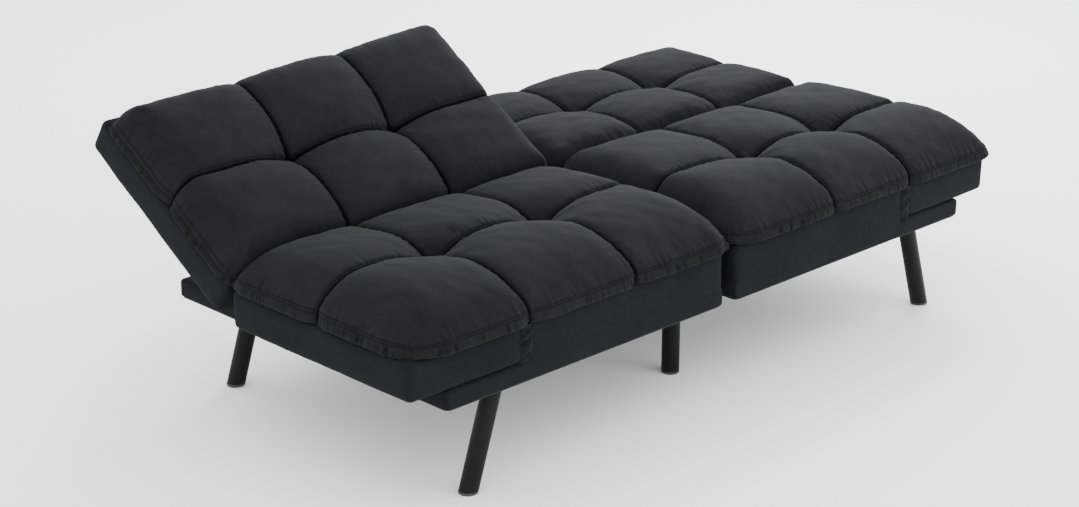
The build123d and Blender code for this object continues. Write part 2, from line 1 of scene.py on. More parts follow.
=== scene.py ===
"""Looks of the split futon sofa bed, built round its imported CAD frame. Metres, +Z up, -Y front.

Shapes are made for a right-hand module with its arm and back flat. The left one's are mirrored, and its
back is then turned about its fold to its rest angle.
"""
import json
import math

import bpy
import numpy as np
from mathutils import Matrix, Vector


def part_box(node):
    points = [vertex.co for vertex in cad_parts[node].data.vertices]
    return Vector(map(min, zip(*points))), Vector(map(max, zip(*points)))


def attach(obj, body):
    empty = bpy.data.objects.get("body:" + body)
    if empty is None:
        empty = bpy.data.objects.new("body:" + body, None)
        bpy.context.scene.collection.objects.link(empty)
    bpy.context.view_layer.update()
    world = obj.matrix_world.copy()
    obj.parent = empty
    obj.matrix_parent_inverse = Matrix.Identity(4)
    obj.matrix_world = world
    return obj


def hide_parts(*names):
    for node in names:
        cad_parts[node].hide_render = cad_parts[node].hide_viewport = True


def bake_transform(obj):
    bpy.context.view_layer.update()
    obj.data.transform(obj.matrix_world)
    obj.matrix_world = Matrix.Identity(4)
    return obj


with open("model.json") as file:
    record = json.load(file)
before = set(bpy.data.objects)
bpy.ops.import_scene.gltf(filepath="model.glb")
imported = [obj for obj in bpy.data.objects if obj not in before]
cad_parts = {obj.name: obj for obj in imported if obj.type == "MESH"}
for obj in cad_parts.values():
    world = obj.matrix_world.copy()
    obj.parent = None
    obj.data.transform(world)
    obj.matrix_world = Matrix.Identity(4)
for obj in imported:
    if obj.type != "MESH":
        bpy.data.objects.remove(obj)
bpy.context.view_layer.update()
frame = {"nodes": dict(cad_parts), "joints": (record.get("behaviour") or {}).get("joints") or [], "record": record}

# --- Sizes from the frame ---------------------------------------------------------------------
SIDES = {"right": 1, "left": -1}
JOINTS = {joint["name"]: joint for joint in frame["joints"]}
ARM_FOLD_X = abs(JOINTS["right_arm_fold"]["pos_m"][0])
FOLD_Z = JOINTS["right_back_recline"]["pos_m"][2]
BACK_FOLD_Y = JOINTS["right_back_recline"]["pos_m"][1]
LEFT_BACK_ANGLE = -math.radians(JOINTS["left_back_recline"]["range_deg"][0])

SEAT_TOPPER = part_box("right_seat_topper")
ARM_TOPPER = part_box("right_arm_topper")
BACK_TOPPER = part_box("right_back_topper")
SEAT_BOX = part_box("right_seat_cover")
ARM_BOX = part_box("right_arm_cover")
BACK_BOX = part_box("right_back_cover")
PLINTH_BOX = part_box("right_plinth_cover")

BLOCK_TOP = SEAT_TOPPER[0].z
QUILT_INNER = SEAT_TOPPER[0].x
QUILT_OUTER = ARM_TOPPER[1].x
QUILT_FRONT = SEAT_TOPPER[0].y
QUILT_REAR = BACK_TOPPER[1].y
FOLD_CLEAR = 0.002  # from the back's fold to each quilt's edge

# --- Quilt shape ------------------------------------------------------------------------------
CELL_SEAM_X = (QUILT_INNER + ARM_FOLD_X) / 2
SEAT_SEAM_Y = (QUILT_FRONT + BACK_FOLD_Y) / 2 + 0.008  # a little behind the middle
BACK_SEAM_Y = (BACK_FOLD_Y + QUILT_REAR) / 2 - 0.010  # a little nearer the fold than the middle
BAND_FOOT_Z = BLOCK_TOP + 0.0006
ARCH_POWER = 2.3  # how late a seam turns down to its crossings
CROWN = 0.010  # how far a cell's middle stands above its seams
SEAM_PULL = 0.007  # how far the edge is drawn in at a seam's end
PULL_WIDTH = 0.022
PULL_REACH = 0.05
CORNER_SHARE = 0.85  # how round a corner is in plan, 1 for an arc
STITCH_FROM_SEAM = 0.007
STITCH_FROM_RIM = 0.0036
SOFT_RIDGES = (-0.0012, 0.0034)  # heights of the long soft folds
GATHER = 0.012  # spare cloth beside seams and edges
GATHER_WIDTH = 0.014

# --- Quilt grid -------------------------------------------------------------------------------
COARSE = 0.0062  # the relaxed grid
FINE = 0.0036  # the finished one
# Extra grid lines beside each seam and edge, in metres from it.
SEAM_OFFSETS = np.array([-10, -7.2, -5, -3.2, -1.8, -0.8, 0, 0.8, 1.8, 3.2, 4.6, 5.8, 7, 8.4, 10.4]) / 1000
RIM_OFFSETS = np.array([0, 1, 2.2, 3.6, 5.2, 7]) / 1000
RIM_ROW = 3  # the edge's row of stitches is this grid line in from it

# Each quilt's own settings. rim: its edge seam above the box. junction, arch: the height above
# the box where its seams cross, and how far they rise between. end_dip: how far they sink again at the
# front and rear edges, 0 to 1. rear_drop: how far its rear row slopes down. falls: over what width the top
# falls to its inner, outer, front and rear edges. corners: the radii of its corners in plan, inner front,
# inner rear, outer front and outer rear. seam_shift: how far its seams lie off the usual places, in x and
# y. rear: how far its rear edge lies beyond the usual, at its inner and outer ends.
QUILTS = {
    "right_seat": {
        "seed": 11, "rim": 0.021, "junction": 0.042, "arch": 0.046, "end_dip": 0.0, "rear_drop": 0.016,
        "falls": (0.07, 0.045, 0.18, 0.035), "corners": (0.08, 0.04, 0.04, 0.03),
        "seam_shift": (0.030, -0.026), "rear": (0, 0)},
    "left_seat": {
        "seed": 12, "rim": 0.023, "junction": 0.040, "arch": 0.050, "end_dip": 0.0, "rear_drop": 0.028,
        "falls": (0.07, 0.13, 0.19, 0.035), "corners": (0.07, 0.04, 0.11, 0.05),
        "seam_shift": (0, 0), "rear": (0, 0)},
    "right_back": {
        "seed": 13, "rim": 0.016, "junction": 0.036, "arch": 0.038, "end_dip": 0.8, "rear_drop": 0.0,
        "falls": (0.06, 0.05, 0.03, 0.09), "corners": (0.04, 0.06, 0.04, 0.05),
        "seam_shift": (0.020, 0), "rear": (0, 0)},
    "left_back": {
        "seed": 14, "rim": 0.016, "junction": 0.036, "arch": 0.046, "end_dip": 0.8, "rear_drop": 0.0,
        "falls": (0.05, 0.045, 0.03, 0.05), "corners": (0.04, 0.05, 0.04, 0.035),
        "seam_shift": (0.012, 0), "rear": (0.006, -0.032)},
}


# --- Noise and small numpy helpers ------------------------------------------------------------
def smoothstep(low, high, value):
    t = np.clip((value - low) / (high - low), 0, 1)
    return t * t * (3 - 2 * t)


def waves(seed, wavelength, *coords, count=14, spread=0.45):
    """Band-limited noise, about -1 to 1: a sum of plane waves in random directions."""
    rng = np.random.default_rng(seed)
    total = 0
    for _ in range(count):
        direction = rng.normal(size=len(coords))
        direction /= np.linalg.norm(direction)
        length = wavelength * (1 + spread * rng.uniform(-1, 1))
        phase = rng.uniform(0, 2 * math.pi)
        along = sum(d * c for d, c in zip(direction, coords))
        total = total + np.cos(2 * math.pi * along / length + phase)
    return total / math.sqrt(count / 2) / 1.6


def unit(vectors):
    return vectors / np.maximum(np.linalg.norm(vectors, axis=-1, keepdims=True), 1e-12)


def grid_normals(points):
    """Upward normals of a grid of points."""
    du = np.gradient(points, axis=1)
    dv = np.gradient(points, axis=0)
    return unit(np.cross(du, dv))


# --- Quilt: first shape, cloth relaxation, detail ---------------------------------------------
class Quilt:
    """One padded top, sewn into cells between the seams at xs and ys, edges included."""

    def __init__(self, kind, settings):
        shift_x, shift_y = settings["seam_shift"]
        self.xs = (QUILT_INNER, CELL_SEAM_X + shift_x, ARM_FOLD_X, QUILT_OUTER)
        if kind == "seat":
            self.ys = (QUILT_FRONT, SEAT_SEAM_Y + shift_y, BACK_FOLD_Y - FOLD_CLEAR)
        else:
            self.ys = (BACK_FOLD_Y + FOLD_CLEAR, BACK_SEAM_Y + shift_y, QUILT_REAR)
        self.seed, self.falls, self.rear = settings["seed"], settings["falls"], settings["rear"]
        self.corners, self.end_dip = settings["corners"], settings["end_dip"]
        self.arch, self.rear_drop = settings["arch"], settings["rear_drop"]
        self.junction_z = BLOCK_TOP + settings["junction"]
        self.rim_z = BLOCK_TOP + settings["rim"]

    def lines(self, stops, step):
        """Grid lines that land on every seam."""
        parts = []
        for a, b in zip(stops, stops[1:]):
            parts.append(np.linspace(a, b, max(2, round((b - a) / step)) + 1)[:-1])
        return np.concatenate(parts + [[stops[-1]]])

    def fine_lines(self, stops):
        """Even lines, with closer ones beside each seam and edge for creases and stitching."""
        lines = self.lines(stops, FINE)
        for seam in stops[1:-1]:
            lines = lines[abs(lines - seam) > abs(SEAM_OFFSETS).max() + 0.4 * FINE]
            lines = np.concatenate([lines, seam + SEAM_OFFSETS])
        for edge, way in ((stops[0], 1), (stops[-1], -1)):
            lines = lines[way * (lines - edge) > RIM_OFFSETS.max() + 0.4 * FINE]
            lines = np.concatenate([lines, edge + way * RIM_OFFSETS])
        return np.sort(lines)

    def mid_cell(self, values, stops):
        """How far off the middle of its cell each value is, 0 to 1, and the same but 0 towards an edge."""
        stops = np.array(stops)
        cell = np.clip(np.searchsorted(stops, values, side="right") - 1, 0, len(stops) - 2)
        off = 2 * (values - stops[cell]) / (stops[cell + 1] - stops[cell]) - 1
        at_edge = ((cell == 0) & (off < 0)) | ((cell == len(stops) - 2) & (off > 0))
        return abs(off), np.where(at_edge, 0, abs(off))

    def first_shape(self, x, y):
        """The quilt's top before the cloth relaxes: arched seams, crowned cells and rounded edges."""
        (off_x, seam_x), (off_y, seam_y) = self.mid_cell(x, self.xs), self.mid_cell(y, self.ys)
        dip_y = np.maximum(seam_y, self.end_dip * off_y)
        seam = self.junction_z + self.arch * (1 - (seam_x * dip_y) ** ARCH_POWER)
        crown = CROWN * (1 - seam_x ** 6) * (1 - seam_y ** 6)
        crown = crown * (1 - 0.4 * off_x ** 2) * (1 - 0.4 * off_y ** 2)
        if self.rear_drop:
            to_rear = np.clip((y - self.ys[1]) / (self.ys[2] - self.ys[1]), 0, 1)
            seam = seam - self.rear_drop * to_rear ** 1.5
        rim = 1
        edges = (x - self.xs[0], self.xs[-1] - x, y - self.ys[0], self.ys[-1] - y)
        for away, width in zip(edges, self.falls):
            t = np.clip(away / width, 0, 1)
            rim = rim * (1 - (1 - t) ** 2) ** 0.75
        z = self.rim_z + (seam + crown - self.rim_z) * rim
        return np.stack([*self.outline(x, y), z], axis=-1)

    def outline(self, x, y):
        """Rounds the corners in plan, and draws the edge in a little at each seam's end."""
        x, y = x.copy(), y.copy()
        places = [(sx, sy) for sx in (-1, 1) for sy in (-1, 1)]
        for (sx, sy), radius in zip(places, self.corners):
            edge_x, edge_y = self.xs[0 if sx < 0 else -1], self.ys[0 if sy < 0 else -1]
            a = np.maximum(0, radius - sx * (edge_x - x))
            b = np.maximum(0, radius - sy * (edge_y - y))
            shrink = np.maximum(a, b) / np.maximum(np.hypot(a, b), 1e-9)
            shrink = 1 - CORNER_SHARE * (1 - shrink)
            inside = (a > 0) & (b > 0)
            x = np.where(inside, edge_x - sx * (radius - a * shrink), x)
            y = np.where(inside, edge_y - sy * (radius - b * shrink), y)
        outer = (x - self.xs[0]) / (self.xs[-1] - self.xs[0])
        far = (y - self.ys[0]) / (self.ys[-1] - self.ys[0])
        y = y + far ** 2 * (self.rear[0] + outer * (self.rear[1] - self.rear[0]))
        for seam in self.xs[1:-1]:
            near = SEAM_PULL * np.exp(-((x - seam) / PULL_WIDTH) ** 2)
            inward = np.exp(-(y - self.ys[0]) / PULL_REACH) - np.exp(-(self.ys[-1] - y) / PULL_REACH)
            y = y + near * inward
        for seam in self.ys[1:-1]:
            near = SEAM_PULL * np.exp(-((y - seam) / PULL_WIDTH) ** 2)
            inward = np.exp(-(x - self.xs[0]) / PULL_REACH) - np.exp(-(self.xs[-1] - x) / PULL_REACH)
            x = x + near * inward
        return x, y

    def seam_distance(self, x, y):
        to_x = np.min([abs(x - seam) for seam in self.xs[1:-1]], axis=0)
        to_y = np.min([abs(y - seam) for seam in self.ys[1:-1]], axis=0)
        return to_x, to_y

    def edge_distance(self, x, y):
        to_x = np.minimum(x - self.xs[0], self.xs[-1] - x)
        to_y = np.minimum(y - self.ys[0], self.ys[-1] - y)
        return to_x, to_y

    def relaxed(self):
        """Lets the cloth settle over its filling. Seams and rim are held, and cells have spare cloth."""
        u, v = self.lines(self.xs, COARSE), self.lines(self.ys, COARSE)
        x, y = np.meshgrid(u, v)
        points = self.first_shape(x, y)
        to_x, to_y = self.seam_distance(x, y)
        held = (to_x < 1e-6) | (to_y < 1e-6)
        held[0, :] = held[-1, :] = held[:, 0] = held[:, -1] = True
        rim_x, rim_y = self.edge_distance(x, y)
        gather_v = GATHER * np.exp(-(np.minimum(to_x, rim_x) / GATHER_WIDTH) ** 2)
        gather_u = GATHER * np.exp(-(np.minimum(to_y, rim_y) / GATHER_WIDTH) ** 2)
        slack = 1.0025 + 0.005 * waves(self.seed, 0.26, x, y)
        points[..., 2] += np.where(held, 0, 0.0003 * waves(self.seed + 50, 0.03, x, y))
        points = relax(points, ~held, slack + gather_u, slack + gather_v)
        return u, v, points

    def surface(self):
        """The fine grid of the top, with creases, stitch grooves and puckers."""
        u, v, coarse = self.relaxed()
        fine_u, fine_v = self.fine_lines(self.xs), self.fine_lines(self.ys)
        across, down = cubic_weights(fine_u, u), cubic_weights(fine_v, v)
        points = np.einsum("ab,bcd->acd", down, np.einsum("ab,cbd->cad", across, coarse))
        x, y = np.meshgrid(fine_u, fine_v)
        return x, y, points + grid_normals(points) * self.relief(x, y)[..., None]

    def relief(self, x, y):
        """How far the cloth's detail stands off its relaxed surface."""
        rim_x, rim_y = self.edge_distance(x, y)
        rim = np.minimum(rim_x, rim_y)
        height = self.soft_folds(x, y)
        seams = [(x - seam, y, k) for k, seam in enumerate(self.xs[1:-1])]
        seams += [(y - seam, x, k + 7) for k, seam in enumerate(self.ys[1:-1])]
        for across, along, k in seams:
            crease = -0.0060 * np.exp(-(across / 0.0022) ** 2)
            crease = crease - 0.0028 * np.exp(-(across / 0.007) ** 2)
            groove = -0.0011 * np.exp(-((across - STITCH_FROM_SEAM) / 0.0016) ** 2)
            pucker = waves(self.seed * 9 + k, 0.0125, along, across * 0.15, spread=0.3)
            patches = smoothstep(-0.3, 0.7, waves(self.seed * 5 + k, 0.10, along))
            spread = abs(across)
            reach = np.where(across > 0, 0.020, 0.011)
            pucker = pucker * (0.35 + patches) * 0.0016
            pucker = pucker * smoothstep(0.001, 0.006, spread) * np.exp(-spread / reach)
            height = height + crease + groove + pucker
        for junction_x in self.xs[1:-1]:
            for junction_y in self.ys[1:-1]:
                seed = int(1e3 * (junction_x + junction_y))
                height = height + self.star(x - junction_x, y - junction_y, seed)
        along = np.where(rim_x < rim_y, y, x)
        patches = 0.5 + smoothstep(-0.4, 0.8, waves(self.seed * 5 + 31, 0.12, x, y))
        puckers = waves(self.seed * 3 + 1, 0.0135, along, rim * 0.2, spread=0.4) * patches
        height = height + 0.0013 * puckers * np.exp(-rim / 0.018) * smoothstep(0, 0.004, rim)
        height = height - 0.0022 * np.exp(-(rim / 0.0018) ** 2)
        height = height - 0.0007 * np.exp(-((rim - STITCH_FROM_RIM) / 0.0012) ** 2)
        height = height + 0.0001 * waves(self.seed + 4, 0.02, x, y)
        return height + 0.0006 * waves(self.seed + 5, 0.07, x, y)

    def shade(self, x, y):
        """How far into a seam or its stitch line each place is, 0 to 1: painted shade darkens the colour there."""
        rim = np.minimum(*self.edge_distance(x, y))
        # Painted shade: darkest in the rim and seam creases, fainter along the stitch rows beside them.
        dark = 0.7 * np.exp(-(rim / 0.0013) ** 2)
        dark = dark + 0.25 * np.exp(-((rim - STITCH_FROM_RIM) / 0.0009) ** 2)
        for across in [x - seam for seam in self.xs[1:-1]] + [y - seam for seam in self.ys[1:-1]]:
            dark = dark + np.exp(-(across / 0.0024) ** 2)
            dark = dark + 0.35 * np.exp(-((across - STITCH_FROM_SEAM) / 0.0010) ** 2)
        return np.clip(dark, 0, 1)

    def star(self, dx, dy, seed):
        """Short folds that radiate from a junction of seams."""
        radius = np.hypot(dx, dy)
        angle = np.arctan2(dy, dx)
        rng = np.random.default_rng(abs(seed) + self.seed)
        folds = 0
        for spokes in (7, 9, 12):
            folds = folds + np.cos(spokes * angle + rng.uniform(0, 6.28))
        return 0.0009 * folds * smoothstep(0.006, 0.03, radius) * np.exp(-radius / 0.03)

    def soft_folds(self, x, y):
        """A few long soft ridges that run out from the junctions and the edges into the cells."""
        rng = np.random.default_rng(self.seed * 17)
        height = 0
        starts = [(jx, jy) for jx in self.xs[1:-1] for jy in self.ys[1:-1]] * 4
        starts += [(rng.uniform(self.xs[0], self.xs[-1]), self.ys[0]) for _ in range(5)]
        for start_x, start_y in starts:
            angle = rng.uniform(0, 2 * math.pi)
            reach, ridge = rng.uniform(0.09, 0.17), rng.uniform(*SOFT_RIDGES)
            bend = rng.uniform(-1.6, 1.6)
            along = (x - start_x) * math.cos(angle) + (y - start_y) * math.sin(angle)
            aside = (y - start_y) * math.cos(angle) - (x - start_x) * math.sin(angle) - bend * along ** 2
            width = 0.006 + 0.07 * np.maximum(along, 0)
            fade = smoothstep(0.02, 0.06, along) * (1 - smoothstep(0.5 * reach, reach, along))
            height = height + ridge * fade * np.exp(-(aside / width) ** 2)
        return height


def cubic_weights(targets, sources):
    """Rows of Catmull-Rom weights that take values at sources to targets."""
    index = np.interp(targets, sources, np.arange(len(sources)))
    base = np.clip(index.astype(int), 0, len(sources) - 2)
    t = index - base
    weights = np.zeros((len(targets), len(sources)))
    parts = (-t / 2 + t ** 2 - t ** 3 / 2, 1 - 5 * t ** 2 / 2 + 3 * t ** 3 / 2,
             t / 2 + 2 * t ** 2 - 3 * t ** 3 / 2, -t ** 2 / 2 + t ** 3 / 2)
    rows = np.arange(len(targets))
    for offset, part in zip((-1, 0, 1, 2), parts):
        np.add.at(weights, (rows, np.clip(base + offset, 0, len(sources) - 1)), part)
    return weights


def relax(points, free, scale_u, scale_v, steps=110, pressure=0.000008, damping=0.93):
    """Cloth simulation on a grid: position-based springs under pressure, with held points fixed."""
    rows, columns = points.shape[:2]
    index = np.arange(rows * columns).reshape(rows, columns)
    flat = points.reshape(-1, 3).copy()
    weight = free.reshape(-1).astype(float)
    scale = {"u": scale_u.reshape(-1), "v": scale_v.reshape(-1)}
    springs = []
    # Each kind of spring: rows down, columns right, whose slack it takes, and its stiffness.
    kinds = [
        (0, 1, "u", 1.0), (1, 0, "v", 1.0), (1, 1, "uv", 0.35), (1, -1, "uv", 0.35),
        (0, 2, "u", 0.10), (2, 0, "v", 0.10),
    ]
    for down, right, kind, stiffness in kinds:
        lo, hi = max(0, -right), columns - max(0, right)
        a = index[: rows - down, lo:hi]
        b = index[down:, lo + right: hi + right]
        # Springs of one colour share no point, so they can be moved together.
        if down:
            colour = np.arange(rows - down)[:, None] // down % 2
        else:
            colour = np.arange(lo, hi)[None, :] // right % 2
        colour = np.broadcast_to(colour, a.shape)
        for which in (0, 1):
            first, second = a[colour == which], b[colour == which]
            rest = np.linalg.norm(flat[second] - flat[first], axis=1)
            if kind == "uv":
                rest = rest * (scale["u"][first] + scale["v"][first]) / 2
            else:
                rest = rest * (scale[kind][first] + scale[kind][second]) / 2
            inverse = weight[first] + weight[second]
            use = inverse > 0
            share = stiffness / np.maximum(inverse, 1)
            share_a, share_b = (weight[first] * share)[use], (weight[second] * share)[use]
            springs.append((first[use], second[use], rest[use], share_a, share_b))
    before = flat.copy()
    for _ in range(steps):
        normals = grid_normals(flat.reshape(rows, columns, 3)).reshape(-1, 3)
        moved = flat + (flat - before) * damping + normals * pressure
        before = flat
        flat = np.where(weight[:, None] > 0, moved, flat)
        for _ in range(2):
            for first, second, rest, share_a, share_b in springs:
                gap = flat[second] - flat[first]
                length = np.maximum(np.linalg.norm(gap, axis=1), 1e-9)
                push = gap * ((length - rest) / length)[:, None]
                flat[first] += push * share_a[:, None]
                flat[second] -= push * share_b[:, None]
    return flat.reshape(rows, columns, 3)


# --- Quilt mesh -------------------------------------------------------------------------------
# The band under the rim, ring by ring: how far out it stands, how far down it is and how much it sags, the
# last two as shares.
BAND_OUT = np.array([0.1, 0.9, 2.0, 3.2, 4.2, 5.0, 5.2, 4.4, 2.6, -0.6, -5.0, -11.0]) / 1000
BAND_DOWN = np.array([0.05, 0.12, 0.21, 0.32, 0.44, 0.57, 0.70, 0.82, 0.92, 0.985, 1.0, 1.0])
BAND_SAG = np.array([0, 0.04, 0.10, 0.2, 0.36, 0.55, 0.75, 0.92, 1.0, 0.95, 0.6, 0.0])


def boundary(grid):
    """A grid's outermost entries, counter-clockwise from its first one."""
    return np.concatenate([grid[0, :-1], grid[:-1, -1], grid[-1, :0:-1], grid[:0:-1, 0]])


def smoothed(loop_values, half_width):
    """Values round a closed loop, averaged with their neighbours."""
    count = 2 * half_width
    kernel = np.exp(-(np.arange(-count, count + 1) / half_width) ** 2)
    padded = np.concatenate([loop_values[-count:], loop_values, loop_values[:count]])
    return np.convolve(padded, kernel / kernel.sum(), mode="valid")


def seam_end_distance(quilt, x, y):
    """How far each place on the edge is from the nearest seam's end."""
    rim_x, rim_y = quilt.edge_distance(x, y)
    to_x, to_y = quilt.seam_distance(x, y)
    return np.where(rim_y < rim_x, to_x, to_y)


def quilt_mesh(quilt, strips_along_x):
    """Vertices, faces, the top's grid of points and each vertex's painted shade."""
    x, y, top = quilt.surface()
    rows, columns = top.shape[:2]
    index = np.arange(rows * columns).reshape(rows, columns)
    faces = [tuple(quad) for quad in np.stack(
        [index[:-1, :-1], index[:-1, 1:], index[1:, 1:], index[1:, :-1]], axis=-1).reshape(-1, 4)]
    loop = boundary(index)
    rim = boundary(top)
    along = np.roll(rim, -1, axis=0) - np.roll(rim, 1, axis=0)
    outward = np.stack([smoothed(along[:, 1], 5), -smoothed(along[:, 0], 5), 0 * along[:, 0]], axis=-1)
    outward = unit(outward)
    length = np.concatenate([[0], np.cumsum(np.linalg.norm(np.diff(rim, axis=0), axis=1))])
    total = length[-1] + np.linalg.norm(rim[0] - rim[-1])
    turns = 2 * math.pi * length / total
    circle = (np.cos(turns) * total / 6.283, np.sin(turns) * total / 6.283)
    gathers = waves(quilt.seed + 21, 0.015, *circle, spread=0.5)
    sharp = waves(quilt.seed + 22, 0.0105, *circle, spread=0.3)
    swell = waves(quilt.seed + 23, 0.09, *circle)
    ends = seam_end_distance(quilt, boundary(x), boundary(y))
    open_band = 1 - np.exp(-(ends / 0.022) ** 2)
    notch = np.exp(-(ends / 0.0045) ** 2)
    sag = 0.0022 * open_band * (0.7 + 0.4 * swell)
    loops, vertices, shades = [loop], [top.reshape(-1, 3)], [quilt.shade(x, y).reshape(-1)]
    drop = rim[:, 2] - BAND_FOOT_Z
    count = rows * columns
    for k, (out, down, sagging) in enumerate(zip(BAND_OUT, BAND_DOWN, BAND_SAG)):
        t = (k + 1) / len(BAND_OUT)
        strength = smoothstep(0.05, 0.35, t) * (1 - smoothstep(0.85, 1.0, t))
        slanted = np.interp(length + 0.004 * t * swell, length, gathers)
        folds = 0.0020 * slanted + 0.0013 * sharp * (1 - 0.5 * t)
        folds = strength * folds * (0.65 + 0.55 * swell)
        bulge = np.where(out > 0, out * (0.35 + 0.65 * open_band), out) - 0.003 * notch * strength
        ring = rim + outward * (bulge + folds)[:, None]
        ring[:, 2] = rim[:, 2] - drop * down - sag * sagging + 0.0007 * strength * gathers
        vertices.append(ring)
        # Painted shade on the band: darker just under the rim, at the notches by the seams' ends and in the
        # valleys of the gathers.
        painted_fold_shade = 0.6 * np.clip(-folds / 0.002, 0, 1)
        shades.append(np.clip(0.6 * math.exp(-(t / 0.09) ** 2) + 0.7 * notch + painted_fold_shade, 0, 1))
        loops.append(np.arange(count, count + len(loop)))
        count += len(loop)
    for upper, lower in zip(loops, loops[1:]):
        faces += [tuple(quad) for quad in np.stack(
            [upper, lower, np.roll(lower, -1), np.roll(upper, -1)], axis=-1)]
    faces += underside(loops[-1], rows, columns, strips_along_x)
    return np.concatenate(vertices), faces, top, np.concatenate(shades)


def underside(loop, rows, columns, strips_along_x):
    """Long strips across the flat underside, so that it can bend where the quilt folds."""
    front = loop[:columns]
    right = loop[columns - 1:columns + rows - 1]
    rear = loop[columns + rows - 2:2 * columns + rows - 2][::-1]
    left = np.concatenate([loop[2 * columns + rows - 3:], loop[:1]])[::-1]
    if strips_along_x:
        strips = [(front[i], rear[i], rear[i + 1], front[i + 1]) for i in range(columns - 1)]
        ends = [tuple(left), tuple(right[::-1])]
    else:
        strips = [(left[j], left[j + 1], right[j + 1], right[j]) for j in range(rows - 1)]
        ends = [tuple(front[::-1]), tuple(rear)]
    return strips + ends


# --- Stitches ---------------------------------------------------------------------------------
STITCH_PITCH = 0.0046
STITCH_LENGTH = 0.0034
STITCH_RADIUS = 0.00055


def stitches_along(path, normals):
    """Short thread loops laid end to end along a path, as vertices and faces."""
    steps = np.linalg.norm(np.diff(path, axis=0), axis=1)
    length = np.concatenate([[0], np.cumsum(steps)])
    starts = np.arange(0.002, length[-1] - STITCH_LENGTH, STITCH_PITCH)
    ring_at = np.array([0.0, 0.2, 0.8, 1.0]) * STITCH_LENGTH
    ring_radius = np.array([0.45, 1.0, 1.0, 0.45]) * STITCH_RADIUS
    ring_lift = np.array([-0.6, 0.25, 0.25, -0.6]) * STITCH_RADIUS
    vertices, faces = [], []
    angles = np.arange(5) * 2 * math.pi / 5
    for start in starts:
        first = 20 * len(vertices)
        body = []
        for at, radius, lift in zip(ring_at, ring_radius, ring_lift):
            centre = np.array([np.interp(start + at, length, path[:, k]) for k in range(3)])
            normal = unit(np.array([np.interp(start + at, length, normals[:, k]) for k in range(3)]))
            ahead = np.array([np.interp(start + at + 0.001, length, path[:, k]) for k in range(3)])
            ahead = ahead - centre
            side = unit(np.cross(normal, ahead))
            for angle in angles:
                up, aside = lift + radius * math.sin(angle), radius * math.cos(angle)
                body.append(centre + normal * up + side * aside)
        vertices.append(np.array(body))
        for ring in range(3):
            for k in range(5):
                a, b = first + 5 * ring + k, first + 5 * ring + (k + 1) % 5
                faces.append((a, b, b + 5, a + 5))
        faces.append(tuple(range(first + 4, first - 1, -1)))
        faces.append(tuple(range(first + 15, first + 20)))
    return np.concatenate(vertices), faces


def closed(loop):
    return np.concatenate([loop, loop[:1]])


def quilt_stitching(quilt, top):
    """Paths of the row inside the rim and the row beside each inner seam."""
    x, y = quilt.fine_lines(quilt.xs), quilt.fine_lines(quilt.ys)
    normals = grid_normals(top)
    inside = top[RIM_ROW:-RIM_ROW, RIM_ROW:-RIM_ROW]
    inside_normals = normals[RIM_ROW:-RIM_ROW, RIM_ROW:-RIM_ROW]
    paths = [(closed(boundary(inside)), closed(boundary(inside_normals)))]
    for seam in quilt.xs[1:-1]:
        column = int(np.argmin(abs(x - (seam + STITCH_FROM_SEAM))))
        paths.append((top[:, column], normals[:, column]))
    for seam in quilt.ys[1:-1]:
        row = int(np.argmin(abs(y - (seam + STITCH_FROM_SEAM))))
        paths.append((top[row], normals[row]))
    return paths


# --- Materials --------------------------------------------------------------------------------
def new_material(name):
    material = bpy.data.materials.new(name)
    material.use_nodes = True
    nodes, links = material.node_tree.nodes, material.node_tree.links
    return material, nodes, links, nodes["Principled BSDF"]


def noise(nodes, links, scale, detail=3.0, roughness=0.5, stretch=None):
    """A noise texture in the object's own coordinates."""
    coordinates = nodes.new("ShaderNodeTexCoord")
    texture = nodes.new("ShaderNodeTexNoise")
    texture.inputs["Scale"].default_value = scale
    texture.inputs["Detail"].default_value = detail
    texture.inputs["Roughness"].default_value = roughness
    source = coordinates.outputs["Object"]
    if stretch:
        mapping = nodes.new("ShaderNodeMapping")
        mapping.inputs["Scale"].default_value = stretch
        links.new(source, mapping.inputs["Vector"])
        source = mapping.outputs["Vector"]
    links.new(source, texture.inputs["Vector"])
    return texture.outputs["Fac"]


def ramp(nodes, links, value, stops):
    """Colours (or greys) along a value."""
    node = nodes.new("ShaderNodeValToRGB")
    elements = node.color_ramp.elements
    while len(elements) < len(stops):
        elements.new(0.5)
    for element, (position, colour) in zip(elements, stops):
        element.position = position
        element.color = (*colour, 1) if len(colour) == 3 else (colour[0],) * 3 + (1,)
    links.new(value, node.inputs["Fac"])
    return node.outputs["Color"]


def mixed(nodes, links, kind, factor, a, b):
    node = nodes.new("ShaderNodeMix")
    node.data_type = "RGBA"
    node.blend_type = kind
    node.inputs["Factor"].default_value = factor
    links.new(a, node.inputs["A"])
    links.new(b, node.inputs["B"])
    return node.outputs["Result"]


def bumped(nodes, links, shader, layers):
    """Bump from several heights: (value, strength, distance) each."""
    previous = None
    for value, strength, distance in layers:
        bump = nodes.new("ShaderNodeBump")
        bump.inputs["Strength"].default_value = strength
        bump.inputs["Distance"].default_value = distance
        links.new(value, bump.inputs["Height"])
        if previous:
            links.new(previous, bump.inputs["Normal"])
        previous = bump.outputs["Normal"]
    links.new(previous, shader.inputs["Normal"])


def with_painted_seam_shade(nodes, links, colour):
    # Painted shade: the colour is multiplied down to 0.12 in the quilt's seams, rim, stitch rows and band folds.
    attribute = nodes.new("ShaderNodeAttribute")
    attribute.attribute_name = "seam_shade"
    painted_shade = ramp(nodes, links, attribute.outputs["Fac"], [(0.0, (1.0,)), (1.0, (0.12,))])
    return mixed(nodes, links, "MULTIPLY", 1.0, colour, painted_shade)


